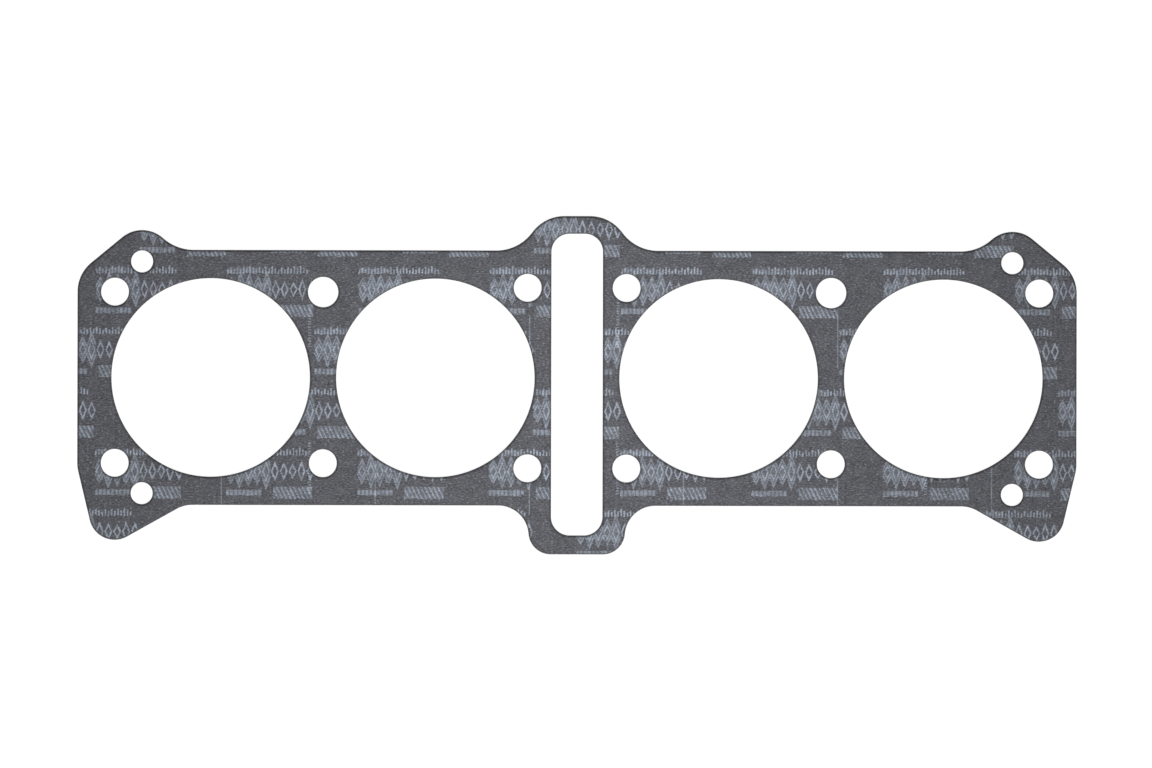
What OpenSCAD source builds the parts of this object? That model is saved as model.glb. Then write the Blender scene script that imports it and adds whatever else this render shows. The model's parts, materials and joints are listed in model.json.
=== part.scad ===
// Cylinder base gasket for an inline four-cylinder engine: one flat sheet, die-cut to shape.
// It lies on the XY plane with its lower face at z = 0. The cylinders stand in a row along X, and
// the origin is midway between the two middle cylinders, on the line through all four centres.
// The layout is the same left and right of x = 0, so each size below is given for one side.

/* [Sheet] */
// Thickness of the gasket sheet
sheet_t = 0.5; // [0.3:0.1:1.6]

/* [Cylinder sleeves] */
// Diameter of the opening that each cylinder sleeve passes through
sleeve_d = 78.6; // [72:0.2:82]
// Distance between the two cylinders of a pair
bore_pitch = 89; // [87:0.5:93]
// Distance between the two middle cylinders, which stand either side of the cam chain
centre_pitch = 112.2; // [110:0.2:118]

/* [Cylinder studs] */
// Diameter of each stud hole
stud_hole_d = 11; // [9:0.5:12]
// Diameter of the two holes whose studs carry a locating dowel
dowel_hole_d = 12; // [10:0.5:14]
// Distance between the upper and the lower stud row, for the outer and the middle studs
stud_rows = 67.8; // [66:0.2:70]
// Distance between the upper and the lower stud row, for the studs beside the cam chain
inner_stud_rows = 71.5; // [69:0.5:74]
// Distance from the outer cylinder's centre out to the outer studs
outer_stud_offset = 37.95; // [37:0.05:40]
// Distance from the inner cylinder's centre in to the studs beside the cam chain
inner_stud_offset = 36.5; // [35.5:0.1:37.5]

/* [Corner holes] */
// Diameter of the small hole in each corner
corner_hole_d = 8.7; // [6:0.1:10]
// How far each corner hole lies in from the outer studs
corner_hole_in = 10.7; // [9.5:0.1:12]
// How far each corner hole lies past the row of outer studs
corner_hole_out = 12; // [11:0.5:14]

/* [Cam chain tunnel] */
// Width of the tunnel opening
tunnel_w = 20.4; // [16:0.2:22]
// Height of the tunnel's upper end above the line of the cylinders
tunnel_up = 57.2; // [50:0.2:62]
// Depth of the tunnel's lower end below the line of the cylinders
tunnel_down = 62.3; // [55:0.1:68]
// Corner radius at the tunnel's upper end
tunnel_up_r = 7.2; // [3:0.1:7.8]
// Corner radius at the tunnel's lower end
tunnel_down_r = 7.4; // [3:0.1:7.8]

/* [Tunnel surround] */
// Width of the sheet above the tunnel
up_wall = 7; // [4:0.5:10]
// Width of the sheet below the tunnel
down_wall = 7.5; // [4:0.5:10]
// Width of the sheet beside the tunnel at the upper bulge's widest place
up_side_wall = 10.6; // [8:0.1:12]
// Width of the sheet beside the tunnel at the lower bulge's widest place
down_side_wall = 8.9; // [6:0.1:10]
// Radius of the upper bulge's shoulders
up_shoulder_r = 15.7; // [13:0.1:16.5]
// Radius of the lower bulge's shoulders
down_shoulder_r = 8.8; // [6:0.1:10]
// Radius of the hollow between the upper bulge and the long edge
up_hollow_r = 17.6; // [15:0.1:20]
// Radius of the hollow between the lower bulge and the long edge
down_hollow_r = 12.1; // [9:0.1:13]

/* [Outline] */
// Width of the sheet between a sleeve opening and the long edge
rim = 11.2; // [9:0.2:12.5]
// Distance from the outer studs' centres to the edge of the sheet round them
stud_margin = 14.85; // [12:0.05:16]
// Distance from an upper corner hole's centre to the edge of the ear round it
ear_margin = 12.4; // [10:0.1:13]
// Radius of the hollow between an upper ear and the long edge
ear_hollow_r = 18.4; // [14:0.1:20]
// How far a lower ear's centre lies below the lower outer stud
lower_ear_drop = 20.4; // [19:0.1:23]
// Radius of a lower ear
lower_ear_r = 10.1; // [9:0.1:12]
// Radius of the hollow between a lower ear and the long edge
lower_hollow_r = 12.6; // [6:0.1:25]
// How far that hollow's centre lies in from the lower ear's centre
lower_hollow_in = 30.75; // [28:0.05:36]

/* [Hidden] */
$fn = 180;
sheet_colour = "#626265";

// Length of the straight run between the two arcs of an S-shaped edge
s_straight = 1;
// How far each corner and hollow reaches past its belt circle, so that it takes in the points
// where the belt meets it
overlap = 0.002;

sleeve_r = sleeve_d / 2;
edge_y = sleeve_r + rim;

inner_bore_x = centre_pitch / 2;
outer_bore_x = inner_bore_x + bore_pitch;

outer_stud_x = outer_bore_x + outer_stud_offset;
middle_stud_x = (inner_bore_x + outer_bore_x) / 2;
inner_stud_x = inner_bore_x - inner_stud_offset;
stud_y = stud_rows / 2;
inner_stud_y = inner_stud_rows / 2;

corner_x = outer_stud_x - corner_hole_in;
corner_y = stud_y + corner_hole_out;

// An edge is drawn as a belt round circles, anticlockwise. Each circle is [x, y, r]. A circle with
// a positive r lies in the sheet and makes a rounded corner, and one with a negative r lies outside
// it and makes a hollow. The belt runs straight from each circle to the next, tangent to both.

// Direction, from circle a's centre, of the point where the belt leaves a for circle b
function leaving(a, b) =
    let (d = [b.x - a.x, b.y - a.y])
    atan2(d.y, d.x) - acos((a.z - b.z) / norm(d));

// The point of circle c in a direction from its centre
function touch(c, angle) = [c.x + c.z * cos(angle), c.y + c.z * sin(angle)];

// Every point where the belt meets or leaves a circle, in order
function belt_points(circles) = [
    for (i = [0 : len(circles) - 1])
        let (
            a = circles[i],
            b = circles[(i + 1) % len(circles)],
            angle = leaving(a, b)
        )
        each [touch(a, angle), touch(b, angle)]
];

// The same circles on the other side of x = 0, in the order that carries the belt on
function mirrored(circles) = [
    for (i = [len(circles) - 1 : -1 : 0])
        [-circles[i].x, circles[i].y, circles[i].z]
];

// How far along X a hollow's centre lies from corner circle c, when the hollow touches a long
// edge at y = level and leaves a straight run of s_straight between the two arcs
function hollow_step(c, hollow_r, level) =
    let (rise = level + sign(level) * hollow_r - c.y)
    sqrt((c.z + hollow_r) ^ 2 + s_straight ^ 2 - rise ^ 2);

// The hollow beside corner circle c, on the side that way gives: 1 outwards, -1 inwards
function hollow(c, hollow_r, level, way) = [
    c.x + way * hollow_step(c, hollow_r, level),
    level + sign(level) * hollow_r,
    -hollow_r
];

module disc(c) {
    translate([c.x, c.y])
        circle(r = abs(c.z) + overlap);
}

// The area inside a belt round these circles
module belt_area(circles) {
    difference() {
        union() {
            polygon(belt_points(circles));
            for (c = circles)
                if (c.z > 0) disc(c);
        }
        for (c = circles)
            if (c.z < 0) disc(c);
    }
}

// The sheet's outer edge
module outline() {
    up_shoulder = [
        tunnel_w / 2 + up_side_wall - up_shoulder_r,
        tunnel_up + up_wall - up_shoulder_r,
        up_shoulder_r
    ];
    down_shoulder = [
        tunnel_w / 2 + down_side_wall - down_shoulder_r,
        -(tunnel_down + down_wall - down_shoulder_r),
        down_shoulder_r
    ];
    upper_ear = [corner_x, corner_y, ear_margin];
    upper_stud = [outer_stud_x, stud_y, stud_margin];
    lower_stud = [outer_stud_x, -stud_y, stud_margin];
    lower_ear = [outer_stud_x, -stud_y - lower_ear_drop, lower_ear_r];
    lower_hollow = [
        lower_ear.x - lower_hollow_in,
        -edge_y - lower_hollow_r,
        -lower_hollow_r
    ];
    right_half = [
        down_shoulder,
        hollow(down_shoulder, down_hollow_r, -edge_y, 1),
        lower_hollow,
        lower_ear,
        lower_stud,
        upper_stud,
        upper_ear,
        hollow(upper_ear, ear_hollow_r, edge_y, -1),
        hollow(up_shoulder, up_hollow_r, edge_y, 1),
        up_shoulder
    ];
    belt_area(concat(right_half, mirrored(right_half)));
}

// The opening that the cam chain runs through
module tunnel() {
    right_half = [
        [tunnel_w / 2 - tunnel_down_r, -tunnel_down + tunnel_down_r, tunnel_down_r],
        [tunnel_w / 2 - tunnel_up_r, tunnel_up - tunnel_up_r, tunnel_up_r]
    ];
    belt_area(concat(right_half, mirrored(right_half)));
}

// Two equal round holes, at x and -x
module hole_pair(x, y, d) {
    for (side = [-1, 1])
        translate([side * x, y])
            circle(d = d);
}

module sleeve_openings() {
    for (x = [inner_bore_x, outer_bore_x])
        hole_pair(x, 0, sleeve_d);
}

module stud_holes() {
    for (level = [-1, 1]) {
        hole_pair(outer_stud_x, level * stud_y, stud_hole_d);
        hole_pair(inner_stud_x, level * inner_stud_y, stud_hole_d);
    }
    hole_pair(middle_stud_x, -stud_y, stud_hole_d);
}

module dowel_holes() {
    hole_pair(middle_stud_x, stud_y, dowel_hole_d);
}

module corner_holes() {
    for (level = [-1, 1])
        hole_pair(corner_x, level * corner_y, corner_hole_d);
}

module gasket() {
    color(sheet_colour)
        linear_extrude(sheet_t)
            difference() {
                outline();
                sleeve_openings();
                stud_holes();
                dowel_holes();
                corner_holes();
                tunnel();
            }
}

gasket();
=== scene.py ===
"""Looks of the cylinder base gasket: its die-cut fibre sheet, the print on it, its light and camera.

The sheet lies on the XY plane with its lower face at z = 0. Sizes are in millimetres, and a point
turns to metres where a mesh, a lamp or the camera is made.
"""

import json
import logging
import math
import operator
from collections.abc import Mapping, Sequence
from dataclasses import dataclass
from enum import Enum
from functools import reduce
from typing import Any, Protocol

import bpy
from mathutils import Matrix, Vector
from mathutils.geometry import delaunay_2d_cdt

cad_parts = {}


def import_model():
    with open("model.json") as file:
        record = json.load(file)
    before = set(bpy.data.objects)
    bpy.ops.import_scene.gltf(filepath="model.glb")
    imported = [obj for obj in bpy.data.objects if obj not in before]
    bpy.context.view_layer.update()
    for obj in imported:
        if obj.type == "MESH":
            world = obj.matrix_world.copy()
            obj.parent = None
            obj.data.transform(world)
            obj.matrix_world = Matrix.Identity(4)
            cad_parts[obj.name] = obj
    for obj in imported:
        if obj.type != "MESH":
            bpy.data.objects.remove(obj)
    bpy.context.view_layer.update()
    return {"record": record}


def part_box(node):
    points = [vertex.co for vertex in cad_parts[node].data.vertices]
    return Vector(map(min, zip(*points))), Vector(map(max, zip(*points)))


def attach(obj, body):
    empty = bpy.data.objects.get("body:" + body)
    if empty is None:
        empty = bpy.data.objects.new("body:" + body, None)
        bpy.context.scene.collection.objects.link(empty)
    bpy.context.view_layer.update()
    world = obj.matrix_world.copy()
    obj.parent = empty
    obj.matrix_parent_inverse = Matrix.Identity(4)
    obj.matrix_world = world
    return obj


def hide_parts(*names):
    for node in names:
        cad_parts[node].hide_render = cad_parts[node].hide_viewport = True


LOG = logging.getLogger("base_gasket")
MM = 0.001
NODE = "gasket"
BODY = "root"
# The mesh attribute that says how far in from a cut edge a point lies
EDGE_DEPTH = "edge_mm"

Socket = bpy.types.NodeSocket


def linear(colour: str) -> tuple[float, float, float, float]:
    """Turns an sRGB hex colour to the linear values that the shaders take.

    Args:
        colour: the colour as "#RRGGBB".

    Returns:
        Linear red, green and blue, and an alpha of 1.
    """
    parts = [int(colour[i : i + 2], 16) / 255 for i in (1, 3, 5)]
    values = [c / 12.92 if c <= 0.04045 else ((c + 0.055) / 1.055) ** 2.4 for c in parts]
    return (*values, 1.0)


def add_node(
    tree: bpy.types.NodeTree,
    kind: str,
    inputs: Mapping[str | int, Any] | None = None,
    **settings: Any,
) -> bpy.types.Node:
    """Adds a shader node with its settings and links.

    Args:
        tree: the node tree that gets the node.
        kind: the node's type, without the words "ShaderNode" in front.
        inputs: what goes into each input, by its name or number. A Field or a socket is linked,
            and anything else is set as the input's own value.
        **settings: the node's properties.

    Returns:
        The new node.
    """
    node = tree.nodes.new("ShaderNode" + kind)
    for name, value in settings.items():
        setattr(node, name, value)
    for key, value in (inputs or {}).items():
        if isinstance(value, Field):
            value = value.socket
        if isinstance(value, Socket):
            tree.links.new(value, node.inputs[key])
        else:
            node.inputs[key].default_value = value
    return node


@dataclass(frozen=True)
class Field:
    """A number that varies over a surface, with the arithmetic that its node tree works out."""

    tree: bpy.types.NodeTree
    socket: Socket

    def apply(self, operation: str, *others: "Field | float", clamp: bool = False) -> "Field":
        """Works out one operation.

        Args:
            operation: the Math node's name for it.
            *others: its other operands.
            clamp: whether the result is kept from 0 to 1.

        Returns:
            The result.
        """
        operands = dict(enumerate((self, *others)))
        node = add_node(self.tree, "Math", operands, operation=operation, use_clamp=clamp)
        return Field(self.tree, node.outputs[0])

    def __add__(self, other: "Field | float") -> "Field":
        """This plus another."""
        return self.apply("ADD", other)

    def __sub__(self, other: "Field | float") -> "Field":
        """This minus another."""
        return self.apply("SUBTRACT", other)

    def __rsub__(self, other: float) -> "Field":
        """A number minus this."""
        return self * -1.0 + other

    def __mul__(self, other: "Field | float") -> "Field":
        """This times another."""
        return self.apply("MULTIPLY", other)

    def __truediv__(self, other: "Field | float") -> "Field":
        """This over another."""
        return self.apply("DIVIDE", other)

    def __rtruediv__(self, other: float) -> "Field":
        """A number over this."""
        return self.apply("POWER", -1.0) * other

    def __abs__(self) -> "Field":
        """This without its sign."""
        return self.apply("ABSOLUTE")

    def floor(self) -> "Field":
        """The whole number at or below this."""
        return self.apply("FLOOR")

    def wrap(self, length: float) -> "Field":
        """How far this has run into its current repeat of that length."""
        return self.apply("WRAP", length, 0.0)

    def most(self, other: "Field | float") -> "Field":
        """The larger of this and another."""
        return self.apply("MAXIMUM", other)

    def limited(self) -> "Field":
        """This, kept from 0 to 1."""
        return self.apply("ADD", 0.0, clamp=True)

    def mix(self, low: float, high: float) -> "Field":
        """Is low where this is 0, and high where it is 1."""
        return self * (high - low) + low

    def ramp(self, low: float, high: float) -> "Field":
        """Runs from 0 where this is low to 1 where it is high, and stays there beyond."""
        return ((self - low) / (high - low)).limited()

    def past(self, level: "Field | float", soft: float) -> "Field":
        """Runs from 0 to 1 over soft as this passes a level."""
        return (self - level).ramp(-soft / 2, soft / 2)

    def between(self, low: "Field | float", high: "Field | float", soft: float) -> "Field":
        """Is 1 where this lies between low and high, and fades out over soft at either end."""
        return self.past(low, soft) - self.past(high, soft)


@dataclass(frozen=True)
class Circle:
    """A circle that a cut edge bends round. With a negative radius it bends the other way."""

    x: float
    y: float
    r: float

    def mirrored(self) -> "Circle":
        """The same circle on the other side of x = 0."""
        return Circle(-self.x, self.y, self.r)


class Side(Enum):
    """Which side of a corner its hollow lies on."""

    INNER = -1
    OUTER = 1


class Cut(Enum):
    """Which way the sheet lies from a cut edge, when the edge is a belt round its circles."""

    OUTLINE = -1
    OPENING = 1


@dataclass(frozen=True)
class EdgePoint:
    """A point of a cut edge, and the unit direction from it into the sheet."""

    x: float
    y: float
    in_x: float
    in_y: float

    def at(self, depth: float) -> tuple[float, float]:
        """The point that lies that far into the sheet."""
        return self.x + depth * self.in_x, self.y + depth * self.in_y


@dataclass(frozen=True)
class CutEdge:
    """A closed cut edge, with the sheet on the left of its points.

    Its section is the same all round. It gives the depth into the sheet and the height of each
    corner, from the upper face to the lower.
    """

    points: Sequence[EdgePoint]
    section: Sequence[tuple[float, float]]


def arc_steps(radius: float, turn: float, sag: float) -> int:
    """How many chords an arc takes, when none may lie further than sag from it."""
    return max(1, math.ceil(abs(turn) / (2 * math.acos(1 - sag / abs(radius)))))


def leaving(a: Circle, b: Circle) -> float:
    """The direction, from a's centre, of the point where an anticlockwise belt leaves a for b."""
    dx, dy = b.x - a.x, b.y - a.y
    return math.atan2(dy, dx) - math.acos((a.r - b.r) / math.hypot(dx, dy))


def arc_points(circle: Circle, start: float, turn: float, cut: Cut, sag: float) -> list[EdgePoint]:
    """Lays points along an arc of a cut edge.

    Args:
        circle: the circle that the edge follows.
        start: the direction of the first point from its centre.
        turn: the angle to the last point, anticlockwise.
        cut: which way the sheet lies from the edge.
        sag: how far a chord may lie from the arc.

    Returns:
        The points, with both ends.
    """
    steps = arc_steps(circle.r, turn, sag)
    points = []
    for i in range(steps + 1):
        angle = start + turn * i / steps
        out_x, out_y = math.cos(angle), math.sin(angle)
        x, y = circle.x + circle.r * out_x, circle.y + circle.r * out_y
        points.append(EdgePoint(x, y, cut.value * out_x, cut.value * out_y))
    return points


def belt(circles: Sequence[Circle], cut: Cut, sag: float) -> list[EdgePoint]:
    """Draws a closed edge as a belt round circles, straight from each one to the next.

    Args:
        circles: the circles, anticlockwise.
        cut: which way the sheet lies from the edge.
        sag: how far a chord may lie from an arc.

    Returns:
        The edge's points, with the sheet on their left.
    """
    points = []
    for i, circle in enumerate(circles):
        start = leaving(circles[i - 1], circle)
        turn = leaving(circle, circles[(i + 1) % len(circles)]) - start
        # The belt goes anticlockwise round a corner, and clockwise round a hollow.
        way = math.copysign(1, circle.r)
        points += arc_points(circle, start, way * (way * turn % math.tau), cut, sag)
    return points if cut is Cut.OUTLINE else points[::-1]


def round_edge(circle: Circle, sag: float) -> list[EdgePoint]:
    """Draws the edge of a round hole, with the sheet on the left of its points."""
    return arc_points(circle, 0.0, math.tau, Cut.OPENING, sag)[:0:-1]


class Print(Protocol):
    """Something printed on the sheet, or a part of it."""

    def coverage(self, x: Field, y: Field) -> Field:
        """Works out where the ink lies.

        Args:
            x: how far right of the print's own origin a place lies.
            y: how far above it the place lies.

        Returns:
            The share of the place that ink covers.
        """


@dataclass(frozen=True)
class Pen:
    """How the parts of a mark are drawn.

    Lines have a width, and every edge fades out over the soft width. A line and a tint each cover
    their own share of the sheet with ink.
    """

    line_w: float = 0.55
    soft: float = 0.2
    line_ink: float = 0.88
    tint_ink: float = 0.2


@dataclass(frozen=True)
class Heights:
    """The heights of things in a row, each a step taller than the last, wrapped to their spread."""

    least: float
    step: float
    spread: float

    def of(self, number: Field) -> Field:
        """The height of the thing with that number."""
        return (number * self.step).wrap(self.spread) + self.least


@dataclass(frozen=True)
class LozengeRow:
    """A row of outlined lozenges of differing heights, of which the first ones lie on a tint.

    The tint reaches past each of those by a border, which ends in a fainter line.
    """

    pen: Pen = Pen()
    count: int = 10
    tinted: int = 5
    pitch: float = 3.5
    lozenge_w: float = 3.1
    middle_y: float = 10.9
    heights: Heights = Heights(least=6.0, step=2.3, spread=3.2)
    edge_scale: float = 1.4
    border_w: float = 1.0
    border_ink: float = 0.4

    def coverage(self, x: Field, y: Field) -> Field:
        """Works out where the ink lies.

        Args:
            x: how far right of the mark's lower left corner a place lies.
            y: how far above it the place lies.

        Returns:
            The share of the place that ink covers.
        """
        pen = self.pen
        number = (x / self.pitch).floor()
        aside = abs(x - (number + 0.5) * self.pitch) / (self.lozenge_w / 2)
        above = abs(y - self.middle_y) / (self.heights.of(number) * 0.5)
        # The two add up to 1 on a lozenge's edge, and the scale turns the rest to the distance from it.
        outside = (aside + above - 1.0) * self.edge_scale
        rim = outside.between(-pen.line_w, 0.0, pen.soft) * pen.line_ink
        border = outside.between(self.border_w - pen.line_w, self.border_w, pen.soft)
        within = 1.0 - outside.past(self.border_w, pen.soft)
        patch = (border * self.border_ink + pen.tint_ink) * within
        tinted = x.between(0.0, self.tinted * self.pitch, pen.soft)
        row = x.between(0.0, self.count * self.pitch, pen.soft)
        return rim.most(patch * tinted) * row


@dataclass(frozen=True)
class TickRule:
    """A rule of upright ticks of differing heights, whose first stretch lies on a strip of tint."""

    pen: Pen = Pen()
    rule_w: float = 32.0
    base_y: float = 17.2
    pitch: float = 1.25
    tick_w: float = 0.6
    heights: Heights = Heights(least=1.5, step=0.9, spread=1.6)
    tint_w: float = 13.0
    tint_h: float = 2.3

    def coverage(self, x: Field, y: Field) -> Field:
        """Works out where the ink lies.

        Args:
            x: how far right of the mark's lower left corner a place lies.
            y: how far above it the place lies.

        Returns:
            The share of the place that ink covers.
        """
        pen = self.pen
        number = (x / self.pitch).floor()
        above = y - self.base_y
        tick = (x - number * self.pitch).between(0.0, self.tick_w, pen.soft)
        tick = tick * above.between(0.0, self.heights.of(number), pen.soft)
        ticks = x.between(0.0, self.rule_w, pen.soft) * tick
        strip = x.between(0.0, self.tint_w, pen.soft) * above.between(0.0, self.tint_h, pen.soft)
        return (ticks * pen.line_ink).most(strip * pen.tint_ink)


@dataclass(frozen=True)
class DashRow:
    """A row of short dashes, fainter than other lines, on a strip of tint."""

    pen: Pen = Pen()
    row_w: float = 14.0
    base_y: float = 1.4
    dash_h: float = 2.2
    dash_w: float = 1.0
    pitch: float = 1.6
    strength: float = 0.6

    def coverage(self, x: Field, y: Field) -> Field:
        """Works out where the ink lies.

        Args:
            x: how far right of the mark's lower left corner a place lies.
            y: how far above it the place lies.

        Returns:
            The share of the place that ink covers.
        """
        pen = self.pen
        above = y - self.base_y
        strip = x.between(0.0, self.row_w, pen.soft) * above.between(0.0, self.dash_h, pen.soft)
        dash = x.wrap(self.pitch).between(0.0, self.dash_w, pen.soft) * self.strength
        return strip * dash.mix(pen.tint_ink, pen.line_ink)


@dataclass(frozen=True)
class HatchedBlock:
    """A block of leaning lines on a tint."""

    pen: Pen = Pen()
    left_x: float = 18.6
    block_w: float = 15.4
    block_h: float = 4.8
    pitch: float = 1.7
    lean: float = 0.5

    def coverage(self, x: Field, y: Field) -> Field:
        """Works out where the ink lies.

        Args:
            x: how far right of the mark's lower left corner a place lies.
            y: how far above it the place lies.

        Returns:
            The share of the place that ink covers.
        """
        pen = self.pen
        along = x - self.left_x
        block = along.between(0.0, self.block_w, pen.soft) * y.between(0.0, self.block_h, pen.soft)
        line = (along + y * self.lean).wrap(self.pitch).between(0.0, pen.line_w, pen.soft)
        return block * line.mix(pen.tint_ink, pen.line_ink)


@dataclass(frozen=True)
class MarkPrint:
    """A pale mark that repeats over the sheet, with each row of marks shifted from the one below.

    The sheet is printed before it is die-cut, so the cuts run through the marks.
    """

    parts: tuple[Print, ...] = (LozengeRow(), TickRule(), DashRow(), HatchedBlock())
    pitch_x: float = 52.0
    pitch_y: float = 24.0
    row_shift: float = 17.4

    def coverage(self, x: Field, y: Field) -> Field:
        """Works out where the ink lies.

        Args:
            x: how far right of the sheet's middle a place lies.
            y: how far above it the place lies.

        Returns:
            The share of the place that ink covers.
        """
        row = (y / self.pitch_y).floor()
        in_x = (x - row * self.row_shift).wrap(self.pitch_x)
        in_y = y - row * self.pitch_y
        return reduce(operator.add, [part.coverage(in_x, in_y) for part in self.parts])


@dataclass(frozen=True)
class GuideLine:
    """A thin upright line, repeated far apart over the sheet. With a tick pitch, it is all ticks."""

    x: float
    y: float
    line_w: float
    pitch_x: float
    pitch_y: float = 58.0
    line_h: float = 21.0
    tick_pitch: float | None = None
    soft: float = 0.3
    ink: float = 0.6

    def coverage(self, x: Field, y: Field) -> Field:
        """Works out where the ink lies.

        Args:
            x: how far right of the sheet's middle a place lies.
            y: how far above it the place lies.

        Returns:
            The share of the place that ink covers.
        """
        across = (x - self.x).wrap(self.pitch_x)
        up = (y - self.y).wrap(self.pitch_y)
        line = across.between(0.0, self.line_w, self.soft) * up.between(0.0, self.line_h, self.soft)
        if self.tick_pitch:
            line = line * up.wrap(self.tick_pitch).between(0.0, self.tick_pitch / 2, self.soft)
        return line * self.ink


@dataclass(frozen=True)
class Patches:
    """Random patches: their size in x, y and z, and how many finer layers of patches lie over them."""

    size: tuple[float, float, float]
    detail: float = 1.0


@dataclass(frozen=True)
class FibreSheet:
    """Compressed fibre sheet: aramid and mineral fibres in a nitrile rubber binder, calendered.

    It gives the eye a dark matt grey, mottled at close range, with pale fibres that lie mostly along
    X, the way the rollers ran. The ink on it is thin and a little worn.
    """

    shade: str = "#35363A"
    light: str = "#6B6C73"
    pale_fibre: str = "#ABA9AA"
    ink: str = "#B2BCCB"
    # The dark of the band along each cut edge, partly pressed fibre and partly painted shade, and of
    # the wall's darker layers
    pressed_and_shade: str = "#1F1D1D"
    torn: str = "#4A4644"

    # The filler's clumps are about half a millimetre across, and the rollers draw them out.
    grain: Patches = Patches((1.0, 0.54, 0.5), 2.0)
    grain_contrast: float = 2.1
    # The sheet's tone wanders over a few millimetres.
    mottle: Patches = Patches((5.0, 3.5, 5.0))
    mottle_contrast: float = 0.6
    # The fibres are about 0.02 mm thick. They are drawn as flecks of half a millimetre, the finest
    # that shows.
    fleck: Patches = Patches((1.15, 0.5, 0.5))
    fleck_levels: tuple[float, float] = (0.58, 0.76)
    fleck_share: float = 0.6
    # The rollers build the sheet up from layers of about 0.06 mm, which show where it is torn.
    layers: Patches = Patches((1.2, 1.2, 0.06))
    layer_levels: tuple[float, float] = (0.35, 0.65)

    # The ink takes best on the high grain, runs up to about half a millimetre in it, and is worn in
    # patches of about 3 mm.
    wear: Patches = Patches((3.2, 2.4, 2.0))
    ink_levels: tuple[float, float] = (0.35, 0.6)
    grain_uptake: tuple[float, float] = (0.6, 1.1)
    wear_uptake: tuple[float, float] = (0.55, 1.0)
    bleed: float = 1.2
    # On a rolled edge it is gone at the first of these depths below the face, and whole at the second.
    ink_drop: tuple[float, float] = (0.2, 0.1)

    # A dark band along an edge, partly pressed in by the die and partly painted shade of the cut edge:
    # this far in where it starts and where it is full.
    band: tuple[float, float] = (0.95, 0.57)
    band_share: float = 0.46
    # How far in the look of the torn wall reaches
    wall_w: float = 0.02

    # How high the grain stands, and how much the flecks add to it
    relief: float = 0.012
    raised_levels: tuple[float, float] = (0.55, 0.8)
    raised_share: float = 0.5

    # Nitrile rubber has an IOR of about 1.52, and the fibres in its face dull what it reflects.
    ior: float = 1.52
    specular: float = 0.3
    roughness: float = 0.74
    ink_roughness: float = 0.6

    def ink_share(
        self, prints: Sequence[Print], x: Field, y: Field, grain: Field, wear: Field
    ) -> Field:
        """Works out how much ink the sheet took and kept.

        Args:
            prints: what is printed on it.
            x: how far right of the sheet's middle a place lies.
            y: how far above it the place lies.
            grain: the grain there.
            wear: the wear there.

        Returns:
            The share of the place that ink covers.
        """
        spread = (grain - 0.5) * self.bleed
        ink = reduce(operator.add, [p.coverage(x + spread, y + spread) for p in prints])
        ink = ink * grain.ramp(*self.ink_levels).mix(*self.grain_uptake)
        return ink * wear.ramp(*self.ink_levels).mix(*self.wear_uptake)

    def material(self, prints: Sequence[Print], top: float) -> bpy.types.Material:
        """Makes the sheet's material.

        Args:
            prints: what is printed on its upper face.
            top: the height of that face.

        Returns:
            The material.
        """
        made = bpy.data.materials.new("nitrile_bound_fibre_sheet")
        made.use_nodes = True
        tree = made.node_tree
        tree.nodes.clear()
        place = add_node(tree, "TexCoord").outputs["Object"]
        place = add_node(tree, "VectorMath", {0: place, "Scale": 1 / MM}, operation="SCALE").outputs[0]
        x, y, z = (Field(tree, s) for s in add_node(tree, "SeparateXYZ", {0: place}).outputs)
        edge = Field(tree, add_node(tree, "Attribute", attribute_name=EDGE_DEPTH).outputs["Fac"])
        # Each of these runs from 0 to 1, and is about 0.5 on average.
        noises = []
        for patches in (self.grain, self.mottle, self.fleck, self.layers, self.wear):
            scaled = add_node(tree, "VectorMath", {0: place, 1: patches.size}, operation="DIVIDE")
            inputs = {"Vector": scaled.outputs[0], "Scale": 1.0, "Detail": patches.detail}
            noises.append(Field(tree, add_node(tree, "TexNoise", inputs).outputs[0]))
        grain, mottle, fleck, layers, wear = noises

        tone = (grain - 0.5) * self.grain_contrast + (mottle - 0.5) * self.mottle_contrast + 0.5
        ink = self.ink_share(prints, x, y, grain, wear)
        gone_z, whole_z = (top - drop for drop in self.ink_drop)
        ink = (ink * z.ramp(gone_z, whole_z)).limited()

        # A Mix node of colours takes them at inputs 6 and 7, and gives the mix at output 2.
        inputs = {0: layers.ramp(*self.layer_levels), 6: linear(self.pressed_and_shade), 7: linear(self.torn)}
        wall = add_node(tree, "Mix", inputs, data_type="RGBA").outputs[2]
        coats = [
            (tone, linear(self.light)),
            (fleck.ramp(*self.fleck_levels) * self.fleck_share, linear(self.pale_fibre)),
            (ink, linear(self.ink)),
            # The dark band along each cut edge: partly the die's pressing, partly painted shade of the
            # edge
            (edge.ramp(*self.band) * self.band_share, linear(self.pressed_and_shade)),
            (edge.ramp(self.wall_w, 0.0), wall),
        ]
        colour: Any = linear(self.shade)
        for share, coat in coats:
            inputs = {0: share, 6: colour, 7: coat}
            colour = add_node(tree, "Mix", inputs, data_type="RGBA").outputs[2]

        height = grain + fleck.ramp(*self.raised_levels) * self.raised_share
        bump = {"Height": height, "Distance": self.relief * MM, "Strength": 1.0}
        surface = {
            "Base Color": colour,
            "Roughness": ink.mix(self.roughness, self.ink_roughness),
            "Specular IOR Level": self.specular,
            "IOR": self.ior,
            "Normal": add_node(tree, "Bump", bump).outputs[0],
        }
        shader = add_node(tree, "BsdfPrincipled", surface)
        add_node(tree, "OutputMaterial", {"Surface": shader.outputs[0]})
        return made


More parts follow.
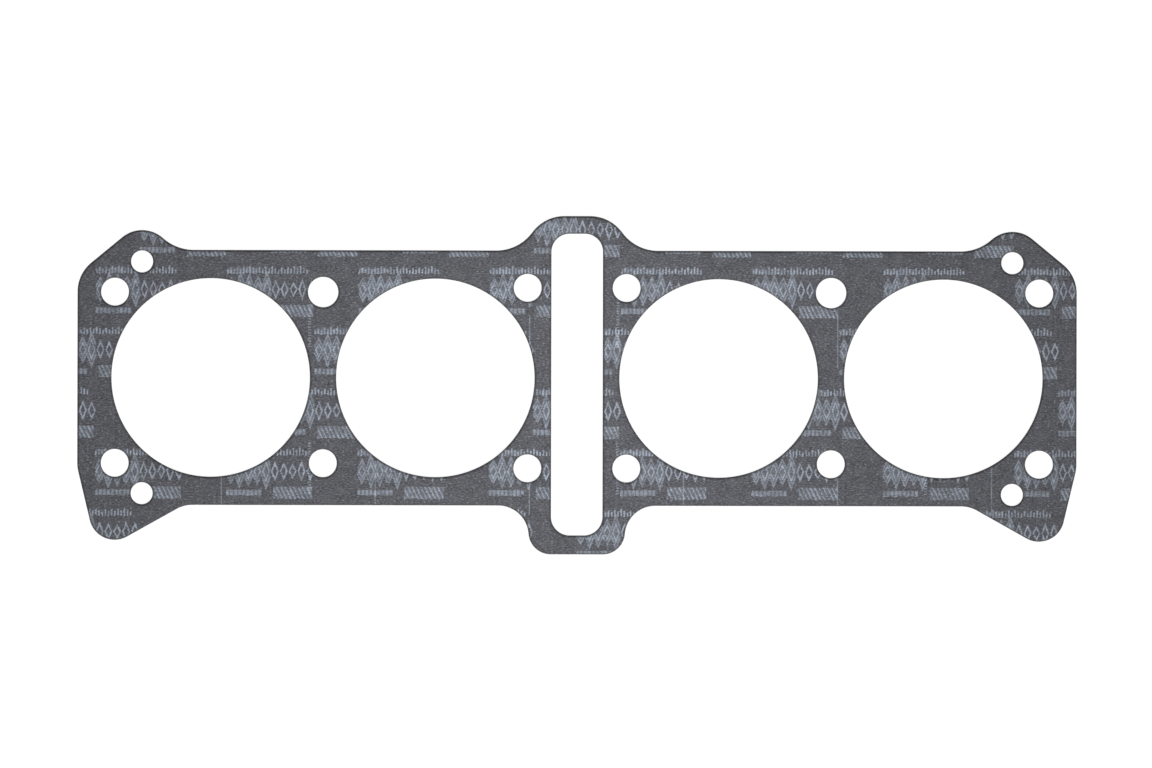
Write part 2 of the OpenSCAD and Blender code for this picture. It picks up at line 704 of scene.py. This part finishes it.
@dataclass
class BaseGasket:
    """The gasket, die-cut from one sheet: four sleeve openings, a chain tunnel and 16 small holes.

    The holes are circles in named groups. The other sizes draw the tunnel and the outline, which are
    the same left and right of x = 0.
    """

    sheet_t: float
    holes: Mapping[str, Sequence[Circle]]

    # The tunnel's opening, which reaches up and down from the line of the cylinders
    tunnel_w: float = 20.4
    tunnel_up: float = 57.2
    tunnel_down: float = 62.3
    tunnel_up_r: float = 7.2
    tunnel_down_r: float = 7.4

    # The sheet round the tunnel, the shoulders of its two bulges and the hollows beside them
    up_wall: float = 7.0
    down_wall: float = 7.5
    up_side_wall: float = 10.6
    down_side_wall: float = 8.9
    up_shoulder_r: float = 15.7
    down_shoulder_r: float = 8.8
    up_hollow_r: float = 17.6
    down_hollow_r: float = 12.1

    # The sheet round the sleeves, the outer studs and the corner holes, and its lower ears
    rim: float = 11.2
    stud_margin: float = 14.85
    ear_margin: float = 12.4
    ear_hollow_r: float = 18.4
    lower_ear_drop: float = 20.4
    lower_ear_r: float = 10.1
    lower_hollow_r: float = 12.6
    lower_hollow_in: float = 30.75
    # The straight run between the two arcs of an S-shaped edge
    s_straight: float = 1.0

    # How far a chord may lie from its arc
    sag: float = 0.004
    # How far in from a cut edge the flat of the sheet starts
    flat_from: float = 1.0
    # The die rolls the upper edge down before it shears. A punch holds the sheet down all round its
    # hole, and a long rule rolls the edge further.
    hole_roll: float = 0.26
    long_roll: float = 0.34
    # The rolled edge: the depth into the sheet, and how much of the roll it has there
    roll_curve: tuple[tuple[float, float], ...] = (
        (0.85, 0.02),
        (0.6, 0.19),
        (0.35, 0.44),
        (0.12, 0.73),
        (0.0, 1.0),
    )
    # The fibres tear below, and leave the wall leaning in at its foot: the depth into the sheet, and
    # the height there
    foot_curve: tuple[tuple[float, float], ...] = ((0.0, 0.15), (0.02, 0.08), (0.05, 0.02), (0.1, 0.0))
    # A crease that turns by more than this many degrees stays sharp
    sharp_turn: float = 50.0

    finish: FibreSheet = FibreSheet()
    prints: tuple[Print, ...] = (
        MarkPrint(),
        GuideLine(x=42.0, y=4.0, line_w=0.4, pitch_x=61.0),
        GuideLine(x=15.5, y=12.0, line_w=1.2, pitch_x=122.0, tick_pitch=1.1),
    )

    @classmethod
    def from_frame(cls, mounts: Sequence[Mapping[str, Any]]) -> "BaseGasket":
        """Takes the sheet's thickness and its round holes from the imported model.

        Args:
            mounts: the record's mounts, whose bores and bolt patterns are the holes.

        Returns:
            The gasket.
        """
        low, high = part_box(NODE)
        holes = {}
        for mount in mounts:
            x, y = (v / MM for v in mount["pos_m"][:2])
            dims = mount["dims"]
            if mount["kind"] == "bore":
                holes[mount["name"]] = [Circle(x, y, dims["r_mm"])]
            elif mount["kind"] == "bolt_pattern":
                half_x, half_y = dims["spacing_x_mm"] / 2, dims.get("spacing_y_mm", 0) / 2
                places = {(x + i * half_x, y + j * half_y) for i in (-1, 1) for j in (-1, 1)}
                # In this order, the last hole of a group is its upper right one.
                holes[mount["name"]] = [Circle(*p, dims["hole_r_mm"]) for p in sorted(places)]
        return cls((high.z - low.z) / MM, holes)

    def hollow(self, corner: Circle, radius: float, level: float, side: Side) -> Circle:
        """Places the hollow beside a corner, touching a long edge.

        Args:
            corner: the corner's circle.
            radius: the hollow's radius.
            level: the long edge's y.
            side: which side of the corner it lies on.

        Returns:
            The hollow's circle.
        """
        centre_y = level + math.copysign(radius, level)
        reach = (corner.r + radius) ** 2 + self.s_straight**2
        step = math.sqrt(reach - (centre_y - corner.y) ** 2)
        return Circle(corner.x + side.value * step, centre_y, -radius)

    def outline(self) -> list[EdgePoint]:
        """Draws the sheet's outer edge.

        Returns:
            Its points, with the sheet on their left.
        """
        stud = self.holes["outer_studs"][-1]
        corner = self.holes["corner_holes"][-1]
        edge_y = self.holes["sleeve_1"][0].r + self.rim
        half_w = self.tunnel_w / 2
        up_shoulder = Circle(
            half_w + self.up_side_wall - self.up_shoulder_r,
            self.tunnel_up + self.up_wall - self.up_shoulder_r,
            self.up_shoulder_r,
        )
        down_shoulder = Circle(
            half_w + self.down_side_wall - self.down_shoulder_r,
            self.down_shoulder_r - self.tunnel_down - self.down_wall,
            self.down_shoulder_r,
        )
        upper_ear = Circle(corner.x, corner.y, self.ear_margin)
        lower_ear = Circle(stud.x, -stud.y - self.lower_ear_drop, self.lower_ear_r)
        lower_hollow_x = lower_ear.x - self.lower_hollow_in
        right_half = [
            down_shoulder,
            self.hollow(down_shoulder, self.down_hollow_r, -edge_y, Side.OUTER),
            Circle(lower_hollow_x, -edge_y - self.lower_hollow_r, -self.lower_hollow_r),
            lower_ear,
            Circle(stud.x, -stud.y, self.stud_margin),
            Circle(stud.x, stud.y, self.stud_margin),
            upper_ear,
            self.hollow(upper_ear, self.ear_hollow_r, edge_y, Side.INNER),
            self.hollow(up_shoulder, self.up_hollow_r, edge_y, Side.OUTER),
            up_shoulder,
        ]
        left_half = [c.mirrored() for c in reversed(right_half)]
        return belt(right_half + left_half, Cut.OUTLINE, self.sag)

    def tunnel(self) -> list[EdgePoint]:
        """Draws the edge of the opening that the cam chain runs through.

        Returns:
            Its points, with the sheet on their left.
        """
        half_w = self.tunnel_w / 2
        up_r, down_r = self.tunnel_up_r, self.tunnel_down_r
        right_half = [
            Circle(half_w - down_r, down_r - self.tunnel_down, down_r),
            Circle(half_w - up_r, self.tunnel_up - up_r, up_r),
        ]
        left_half = [c.mirrored() for c in reversed(right_half)]
        return belt(right_half + left_half, Cut.OPENING, self.sag)

    def edge_section(self, roll: float) -> list[tuple[float, float]]:
        """The section of a cut edge, as CutEdge holds it, with the upper edge rolled down that far."""
        rolled = [(depth, self.sheet_t - share * roll) for depth, share in self.roll_curve]
        return [(self.flat_from, self.sheet_t), *rolled, *self.foot_curve, (self.flat_from, 0.0)]

    def cut_edges(self) -> list[CutEdge]:
        """Lists every cut edge.

        Returns:
            The outline, and then each opening.
        """
        long_section = self.edge_section(self.long_roll)
        hole_section = self.edge_section(self.hole_roll)
        long_edges = [CutEdge(points, long_section) for points in (self.outline(), self.tunnel())]
        circles = [circle for group in self.holes.values() for circle in group]
        return long_edges + [CutEdge(round_edge(c, self.sag), hole_section) for c in circles]

    def flat_faces(self, edges: Sequence[CutEdge]) -> list[tuple[int, int, int]]:
        """Fills the flat of the sheet, inside the rolled edges.

        Args:
            edges: the outline, and then each opening.

        Returns:
            Triangles, as numbers of edge points counted through all the edges.
        """
        points = [Vector(p.at(self.flat_from)) for edge in edges for p in edge.points]
        owner = [number for number, edge in enumerate(edges) for _ in edge.points]
        links = []
        for edge in edges:
            first, n = len(links), len(edge.points)
            links += [(first + i, first + (i + 1) % n) for i in range(n)]
        # The output type 1 leaves out what lies outside the outline.
        output_type, nearness = 1, 1e-9
        _, _, faces, came_from, _, _ = delaunay_2d_cdt(points, links, [], output_type, nearness)
        triangles = [tuple(came_from[v][0] for v in face) for face in faces]
        # An opening bends one way all round, so a triangle with all its corners on it lies inside it.
        openings = [{number} for number in range(1, len(edges))]
        return [t for t in triangles if {owner[v] for v in t} not in openings]

    def build(self) -> bpy.types.Object:
        """Makes the sheet's mesh.

        Returns:
            The sheet, in place.
        """
        edges = self.cut_edges()
        rings = len(edges[0].section)
        points, depths = [], []
        for ring in range(rings):
            for edge in edges:
                depth, height = edge.section[ring]
                points += [(*(v * MM for v in p.at(depth)), height * MM) for p in edge.points]
                depths += [depth] * len(edge.points)
        per_ring = len(points) // rings
        faces = []
        first = 0
        for edge in edges:
            n = len(edge.points)
            for ring in range(rings - 1):
                upper = ring * per_ring + first
                lower = upper + per_ring
                for i in range(n):
                    after = (i + 1) % n
                    faces.append((upper + i, lower + i, lower + after, upper + after))
            first += n
        flat = self.flat_faces(edges)
        below = (rings - 1) * per_ring
        faces += flat
        faces += [tuple(below + v for v in reversed(t)) for t in flat]

        mesh = bpy.data.meshes.new("gasket_sheet")
        mesh.from_pydata(points, [], faces)
        mesh.attributes.new(EDGE_DEPTH, "FLOAT", "POINT").data.foreach_set("value", depths)
        mesh.shade_smooth()
        mesh.set_sharp_from_angle(angle=math.radians(self.sharp_turn))
        sheet = bpy.data.objects.new("gasket_sheet", mesh)
        bpy.context.scene.collection.objects.link(sheet)
        return sheet

    def dress(self, sheet: bpy.types.Object) -> None:
        """Gives the sheet its material and its place in the frame.

        Args:
            sheet: the sheet that build made.
        """
        sheet.data.materials.append(self.finish.material(self.prints, self.sheet_t))
        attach(sheet, BODY)
        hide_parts(NODE)


def seen_directly(tree: bpy.types.NodeTree) -> Field:
    """Tells the rays that look at a surface from those that carry its light to another.

    Args:
        tree: the node tree that asks.

    Returns:
        1 for a ray from the camera, off a glossy surface or through a clear one, and 0 for others.
    """
    path = add_node(tree, "LightPath").outputs
    kinds = ("Camera", "Glossy", "Transmission")
    return reduce(Field.most, [Field(tree, path[f"Is {kind} Ray"]) for kind in kinds])


@dataclass
class Studio:
    """A plain white table in soft light, seen from straight above through a long lens."""

    # The width and the middle of what the camera sees of the table, and its turn in degrees
    view_w: float = 456.4
    view_x: float = -0.39
    view_y: float = -2.3
    view_turn: float = 0.12
    camera_z: float = 1200.0
    camera_reach: float = 100000.0

    # How brightly each light alone shows a white sheet, where 1 is white. The first three light the
    # upper face, and come to about 1.
    world_light: float = 0.09
    side_light: float = 0.49
    lamp_light: float = 0.44
    under_light: float = 0.6
    # How high the side lamp stands and how far to the right of the front, in degrees
    side_height: float = 25.0
    side_right: float = 17.0
    sun_spread: float = 12.0
    lamp_z: float = 240.0
    lamp_w: float = 120.0

    table_w: float = 16000.0
    # Just above the sheet's lower face, so that the two don't lie in one plane
    table_z: float = 0.02
    table_colour: str = "#7C7C7C"
    # A little over 1, so that the table stays white where a little of its light is lost
    table_white: float = 1.04

    def camera(self) -> None:
        """Makes the camera, as high as a long lens stands above a table."""
        data = bpy.data.cameras.new("camera")
        data.lens = data.sensor_width * self.camera_z / self.view_w
        data.clip_end = self.camera_reach * MM
        camera = bpy.data.objects.new("camera", data)
        camera.location = (self.view_x * MM, self.view_y * MM, self.camera_z * MM)
        camera.rotation_euler = (0.0, 0.0, math.radians(self.view_turn))
        bpy.context.scene.collection.objects.link(camera)
        bpy.context.scene.camera = camera
        bpy.context.scene.view_settings.view_transform = "Standard"

    def table(self) -> None:
        """Makes the table, which shows as white from above and is clear from below."""
        half = self.table_w / 2 * MM
        corners = [(-half, -half, 0), (half, -half, 0), (half, half, 0), (-half, half, 0)]
        mesh = bpy.data.meshes.new("table")
        mesh.from_pydata(corners, [], [(0, 1, 2, 3)])
        mesh.materials.append(self.table_material())
        table = bpy.data.objects.new("table", mesh)
        table.location.z = self.table_z * MM
        bpy.context.scene.collection.objects.link(table)

    def table_material(self) -> bpy.types.Material:
        """Makes the table's material: a matt grey that adds what it lacks to look white.

        Returns:
            The material.
        """
        made = bpy.data.materials.new("white_table")
        made.use_nodes = True
        tree = made.node_tree
        tree.nodes.clear()
        place = add_node(tree, "TexCoord").outputs["Object"]
        distance = add_node(tree, "VectorMath", {0: place}, operation="LENGTH").outputs["Value"]
        away = Field(tree, distance)
        # The lamp's light falls off with the fourth power of the cosine of its angle.
        lamp_square = (self.lamp_z * MM) ** 2
        cosine_square = lamp_square / (away * away + lamp_square)
        light = cosine_square * cosine_square * self.lamp_light + self.world_light + self.side_light
        grey = linear(self.table_colour)
        glow = seen_directly(tree) * (self.table_white - light * grey[0])
        lit = add_node(tree, "BsdfDiffuse", {"Color": grey})
        white = add_node(tree, "Emission", {"Strength": glow})
        above = add_node(tree, "AddShader", {0: lit.outputs[0], 1: white.outputs[0]})
        below = add_node(tree, "BsdfTransparent")
        side = add_node(tree, "NewGeometry").outputs["Backfacing"]
        both = add_node(tree, "MixShader", {0: side, 1: above.outputs[0], 2: below.outputs[0]})
        add_node(tree, "OutputMaterial", {"Surface": both.outputs[0]})
        return made

    def world(self) -> None:
        """Makes an even white surround that lights softly and shows as white."""
        world = bpy.data.worlds.new("surround")
        bpy.context.scene.world = world
        world.use_nodes = True
        tree = world.node_tree
        tree.nodes.clear()
        strength = seen_directly(tree).mix(self.world_light, 1.0)
        background = add_node(tree, "Background", {"Color": linear("#FFFFFF"), "Strength": strength})
        add_node(tree, "OutputWorld", {"Surface": background.outputs[0]})

    def lamps(self) -> None:
        """Hangs a soft lamp over the middle, and adds one from the front and one from underneath."""
        area = bpy.data.lights.new("overhead_lamp", "AREA")
        area.size = self.lamp_w * MM
        # An area lamp of power P shows a white sheet below it as about P / (pi * height)**2.
        area.energy = self.lamp_light * math.pi**2 * (self.lamp_z * MM) ** 2
        overhead = bpy.data.objects.new("overhead_lamp", area)
        overhead.location = (0.0, 0.0, self.lamp_z * MM)
        overhead.visible_camera = False
        bpy.context.scene.collection.objects.link(overhead)

        side_power = self.side_light / math.sin(math.radians(self.side_height))
        side_turn = (math.radians(90 - self.side_height), 0.0, math.radians(self.side_right))
        under_turn = (math.pi, 0.0, 0.0)
        suns = [("side_lamp", side_power, side_turn), ("under_lamp", self.under_light, under_turn)]
        for name, power, turn in suns:
            sun = bpy.data.lights.new(name, "SUN")
            # A sun of strength pi straight above a white sheet shows it as white.
            sun.energy = power * math.pi
            sun.angle = math.radians(self.sun_spread)
            lamp = bpy.data.objects.new(name, sun)
            lamp.rotation_euler = turn
            bpy.context.scene.collection.objects.link(lamp)


def main() -> None:
    """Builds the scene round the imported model."""
    logging.basicConfig(level=logging.INFO, format="%(name)s: %(message)s")
    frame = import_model()

    studio = Studio()
    studio.camera()
    studio.table()
    studio.world()
    studio.lamps()
    LOG.info("studio: camera %.0f mm above the table", studio.camera_z)

    gasket = BaseGasket.from_frame(frame["record"]["mounts"])
    sheet = gasket.build()
    gasket.dress(sheet)
    LOG.info("%s: %d faces, %.2f mm thick", sheet.name, len(sheet.data.polygons), gasket.sheet_t)


if __name__ == "__main__":
    main()
